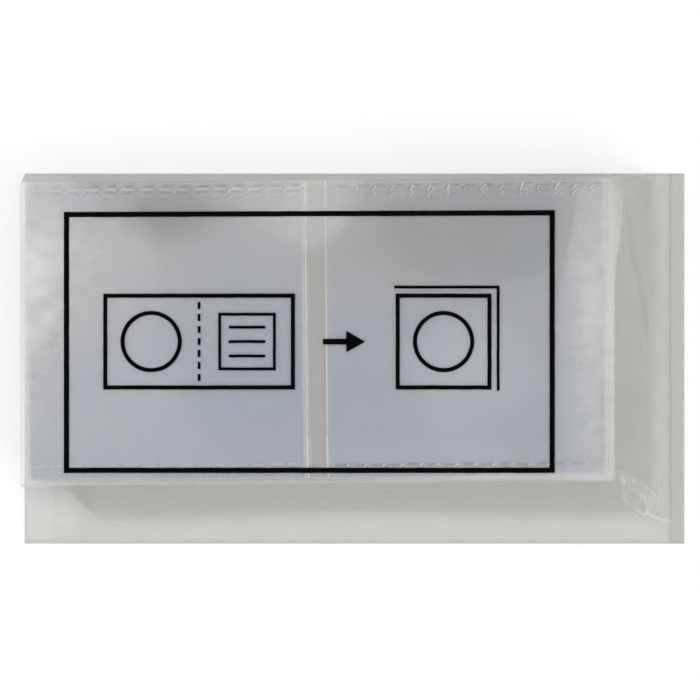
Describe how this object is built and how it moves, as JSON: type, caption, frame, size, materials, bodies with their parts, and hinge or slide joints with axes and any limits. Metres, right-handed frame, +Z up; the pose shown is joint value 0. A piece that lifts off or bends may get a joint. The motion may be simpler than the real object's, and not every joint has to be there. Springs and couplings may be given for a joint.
{
  "type": "coin holder flip pack",
  "caption": "Shop pack of clear double-pocket coin flips: open flips piled flat in a clear film bag with a printed border, drawn out one by one through its open end.",
  "frame": {"origin": "on the underside of the bag's back film, at the middle of the bag's outline", "axes": "+X along the flips to the sealed end of the bag, +Y across the flips towards the side where the pile lies close to the bag's edge, +Z up through the pile to the printed front"},
  "size_m": [0.1464, 0.082, 0.0105],
  "materials": {
    "bag_film": "clear soft polyethylene film with a faint haze, wrinkles and small scuffs",
    "bag_seal": "the two bag films fused by heat, slightly hazier, with a fine crimp",
    "print_ink": "thin solid black print on film",
    "flip_film": "clear glossy polyester film that reads silvery grey in a pile, with dashed heat welds"
  },
  "bodies": {
    "bag": {"bag_front_film": "bag_film", "bag_back_film": "bag_film", "bag_end_seal": "bag_seal", "printed_border": "print_ink"},
    "flip_01": {"flip_01": "flip_film"},
    "flip_02": {"flip_02": "flip_film"},
    "flip_03": {"flip_03": "flip_film"},
    "flip_04": {"flip_04": "flip_film"},
    "flip_05": {"flip_05": "flip_film"},
    "flip_06": {"flip_06": "flip_film"},
    "flip_07": {"flip_07": "flip_film"},
    "flip_08": {"flip_08": "flip_film"},
    "flip_09": {"flip_09": "flip_film"},
    "flip_10": {"flip_10": "flip_film"},
    "flip_11": {"flip_11": "flip_film"},
    "flip_12": {"flip_12": "flip_film"},
    "flip_13": {"flip_13": "flip_film"},
    "flip_14": {"flip_14": "flip_film"},
    "flip_15": {"flip_15": "flip_film"},
    "flip_16": {"flip_16": "flip_film"},
    "flip_17": {"flip_17": "flip_film"},
    "flip_18": {"flip_18": "flip_film"},
    "flip_19": {"flip_19": "flip_film"},
    "flip_20": {"flip_20": "flip_film"},
    "flip_21": {"flip_21": "flip_film"},
    "flip_22": {"flip_22": "flip_film"},
    "flip_23": {"flip_23": "flip_film"},
    "flip_24": {"flip_24": "flip_film"},
    "flip_25": {"flip_25": "flip_film"},
    "flip_26": {"flip_26": "flip_film"},
    "flip_27": {"flip_27": "flip_film"},
    "flip_28": {"flip_28": "flip_film"},
    "flip_29": {"flip_29": "flip_film"},
    "flip_30": {"flip_30": "flip_film"},
    "flip_31": {"flip_31": "flip_film"},
    "flip_32": {"flip_32": "flip_film"},
    "flip_33": {"flip_33": "flip_film"},
    "flip_34": {"flip_34": "flip_film"},
    "flip_35": {"flip_35": "flip_film"},
    "flip_36": {"flip_36": "flip_film"},
    "flip_37": {"flip_37": "flip_film"},
    "flip_38": {"flip_38": "flip_film"},
    "flip_39": {"flip_39": "flip_film"},
    "flip_40": {"flip_40": "flip_film"},
    "flip_41": {"flip_41": "flip_film"},
    "flip_42": {"flip_42": "flip_film"},
    "flip_43": {"flip_43": "flip_film"},
    "flip_44": {"flip_44": "flip_film"},
    "flip_45": {"flip_45": "flip_film"},
    "flip_46": {"flip_46": "flip_film"},
    "flip_47": {"flip_47": "flip_film"},
    "flip_48": {"flip_48": "flip_film"},
    "flip_49": {"flip_49": "flip_film"},
    "flip_50": {"flip_50": "flip_film"}
  },
  "joints": [
    {"name": "flip_01_slide", "type": "slide", "parent": "bag", "child": "flip_01", "axis": [-1, 0, 0], "range_m": [0, 0.132]},
    {"name": "flip_02_slide", "type": "slide", "parent": "bag", "child": "flip_02", "axis": [-1, 0, 0], "range_m": [0, 0.132]},
    {"name": "flip_03_slide", "type": "slide", "parent": "bag", "child": "flip_03", "axis": [-1, 0, 0], "range_m": [0, 0.132]},
    {"name": "flip_04_slide", "type": "slide", "parent": "bag", "child": "flip_04", "axis": [-1, 0, 0], "range_m": [0, 0.132]},
    {"name": "flip_05_slide", "type": "slide", "parent": "bag", "child": "flip_05", "axis": [-1, 0, 0], "range_m": [0, 0.132]},
    {"name": "flip_06_slide", "type": "slide", "parent": "bag", "child": "flip_06", "axis": [-1, 0, 0], "range_m": [0, 0.132]},
    {"name": "flip_07_slide", "type": "slide", "parent": "bag", "child": "flip_07", "axis": [-1, 0, 0], "range_m": [0, 0.132]},
    {"name": "flip_08_slide", "type": "slide", "parent": "bag", "child": "flip_08", "axis": [-1, 0, 0], "range_m": [0, 0.132]},
    {"name": "flip_09_slide", "type": "slide", "parent": "bag", "child": "flip_09", "axis": [-1, 0, 0], "range_m": [0, 0.132]},
    {"name": "flip_10_slide", "type": "slide", "parent": "bag", "child": "flip_10", "axis": [-1, 0, 0], "range_m": [0, 0.132]},
    {"name": "flip_11_slide", "type": "slide", "parent": "bag", "child": "flip_11", "axis": [-1, 0, 0], "range_m": [0, 0.132]},
    {"name": "flip_12_slide", "type": "slide", "parent": "bag", "child": "flip_12", "axis": [-1, 0, 0], "range_m": [0, 0.132]},
    {"name": "flip_13_slide", "type": "slide", "parent": "bag", "child": "flip_13", "axis": [-1, 0, 0], "range_m": [0, 0.132]},
    {"name": "flip_14_slide", "type": "slide", "parent": "bag", "child": "flip_14", "axis": [-1, 0, 0], "range_m": [0, 0.132]},
    {"name": "flip_15_slide", "type": "slide", "parent": "bag", "child": "flip_15", "axis": [-1, 0, 0], "range_m": [0, 0.132]},
    {"name": "flip_16_slide", "type": "slide", "parent": "bag", "child": "flip_16", "axis": [-1, 0, 0], "range_m": [0, 0.132]},
    {"name": "flip_17_slide", "type": "slide", "parent": "bag", "child": "flip_17", "axis": [-1, 0, 0], "range_m": [0, 0.132]},
    {"name": "flip_18_slide", "type": "slide", "parent": "bag", "child": "flip_18", "axis": [-1, 0, 0], "range_m": [0, 0.132]},
    {"name": "flip_19_slide", "type": "slide", "parent": "bag", "child": "flip_19", "axis": [-1, 0, 0], "range_m": [0, 0.132]},
    {"name": "flip_20_slide", "type": "slide", "parent": "bag", "child": "flip_20", "axis": [-1, 0, 0], "range_m": [0, 0.132]},
    {"name": "flip_21_slide", "type": "slide", "parent": "bag", "child": "flip_21", "axis": [-1, 0, 0], "range_m": [0, 0.132]},
    {"name": "flip_22_slide", "type": "slide", "parent": "bag", "child": "flip_22", "axis": [-1, 0, 0], "range_m": [0, 0.132]},
    {"name": "flip_23_slide", "type": "slide", "parent": "bag", "child": "flip_23", "axis": [-1, 0, 0], "range_m": [0, 0.132]},
    {"name": "flip_24_slide", "type": "slide", "parent": "bag", "child": "flip_24", "axis": [-1, 0, 0], "range_m": [0, 0.132]},
    {"name": "flip_25_slide", "type": "slide", "parent": "bag", "child": "flip_25", "axis": [-1, 0, 0], "range_m": [0, 0.132]},
    {"name": "flip_26_slide", "type": "slide", "parent": "bag", "child": "flip_26", "axis": [-1, 0, 0], "range_m": [0, 0.132]},
    {"name": "flip_27_slide", "type": "slide", "parent": "bag", "child": "flip_27", "axis": [-1, 0, 0], "range_m": [0, 0.132]},
    {"name": "flip_28_slide", "type": "slide", "parent": "bag", "child": "flip_28", "axis": [-1, 0, 0], "range_m": [0, 0.132]},
    {"name": "flip_29_slide", "type": "slide", "parent": "bag", "child": "flip_29", "axis": [-1, 0, 0], "range_m": [0, 0.132]},
    {"name": "flip_30_slide", "type": "slide", "parent": "bag", "child": "flip_30", "axis": [-1, 0, 0], "range_m": [0, 0.132]},
    {"name": "flip_31_slide", "type": "slide", "parent": "bag", "child": "flip_31", "axis": [-1, 0, 0], "range_m": [0, 0.132]},
    {"name": "flip_32_slide", "type": "slide", "parent": "bag", "child": "flip_32", "axis": [-1, 0, 0], "range_m": [0, 0.132]},
    {"name": "flip_33_slide", "type": "slide", "parent": "bag", "child": "flip_33", "axis": [-1, 0, 0], "range_m": [0, 0.132]},
    {"name": "flip_34_slide", "type": "slide", "parent": "bag", "child": "flip_34", "axis": [-1, 0, 0], "range_m": [0, 0.132]},
    {"name": "flip_35_slide", "type": "slide", "parent": "bag", "child": "flip_35", "axis": [-1, 0, 0], "range_m": [0, 0.132]},
    {"name": "flip_36_slide", "type": "slide", "parent": "bag", "child": "flip_36", "axis": [-1, 0, 0], "range_m": [0, 0.132]},
    {"name": "flip_37_slide", "type": "slide", "parent": "bag", "child": "flip_37", "axis": [-1, 0, 0], "range_m": [0, 0.132]},
    {"name": "flip_38_slide", "type": "slide", "parent": "bag", "child": "flip_38", "axis": [-1, 0, 0], "range_m": [0, 0.132]},
    {"name": "flip_39_slide", "type": "slide", "parent": "bag", "child": "flip_39", "axis": [-1, 0, 0], "range_m": [0, 0.132]},
    {"name": "flip_40_slide", "type": "slide", "parent": "bag", "child": "flip_40", "axis": [-1, 0, 0], "range_m": [0, 0.132]},
    {"name": "flip_41_slide", "type": "slide", "parent": "bag", "child": "flip_41", "axis": [-1, 0, 0], "range_m": [0, 0.132]},
    {"name": "flip_42_slide", "type": "slide", "parent": "bag", "child": "flip_42", "axis": [-1, 0, 0], "range_m": [0, 0.132]},
    {"name": "flip_43_slide", "type": "slide", "parent": "bag", "child": "flip_43", "axis": [-1, 0, 0], "range_m": [0, 0.132]},
    {"name": "flip_44_slide", "type": "slide", "parent": "bag", "child": "flip_44", "axis": [-1, 0, 0], "range_m": [0, 0.132]},
    {"name": "flip_45_slide", "type": "slide", "parent": "bag", "child": "flip_45", "axis": [-1, 0, 0], "range_m": [0, 0.132]},
    {"name": "flip_46_slide", "type": "slide", "parent": "bag", "child": "flip_46", "axis": [-1, 0, 0], "range_m": [0, 0.132]},
    {"name": "flip_47_slide", "type": "slide", "parent": "bag", "child": "flip_47", "axis": [-1, 0, 0], "range_m": [0, 0.132]},
    {"name": "flip_48_slide", "type": "slide", "parent": "bag", "child": "flip_48", "axis": [-1, 0, 0], "range_m": [0, 0.132]},
    {"name": "flip_49_slide", "type": "slide", "parent": "bag", "child": "flip_49", "axis": [-1, 0, 0], "range_m": [0, 0.132]},
    {"name": "flip_50_slide", "type": "slide", "parent": "bag", "child": "flip_50", "axis": [-1, 0, 0], "range_m": [0, 0.132]}
  ]
}
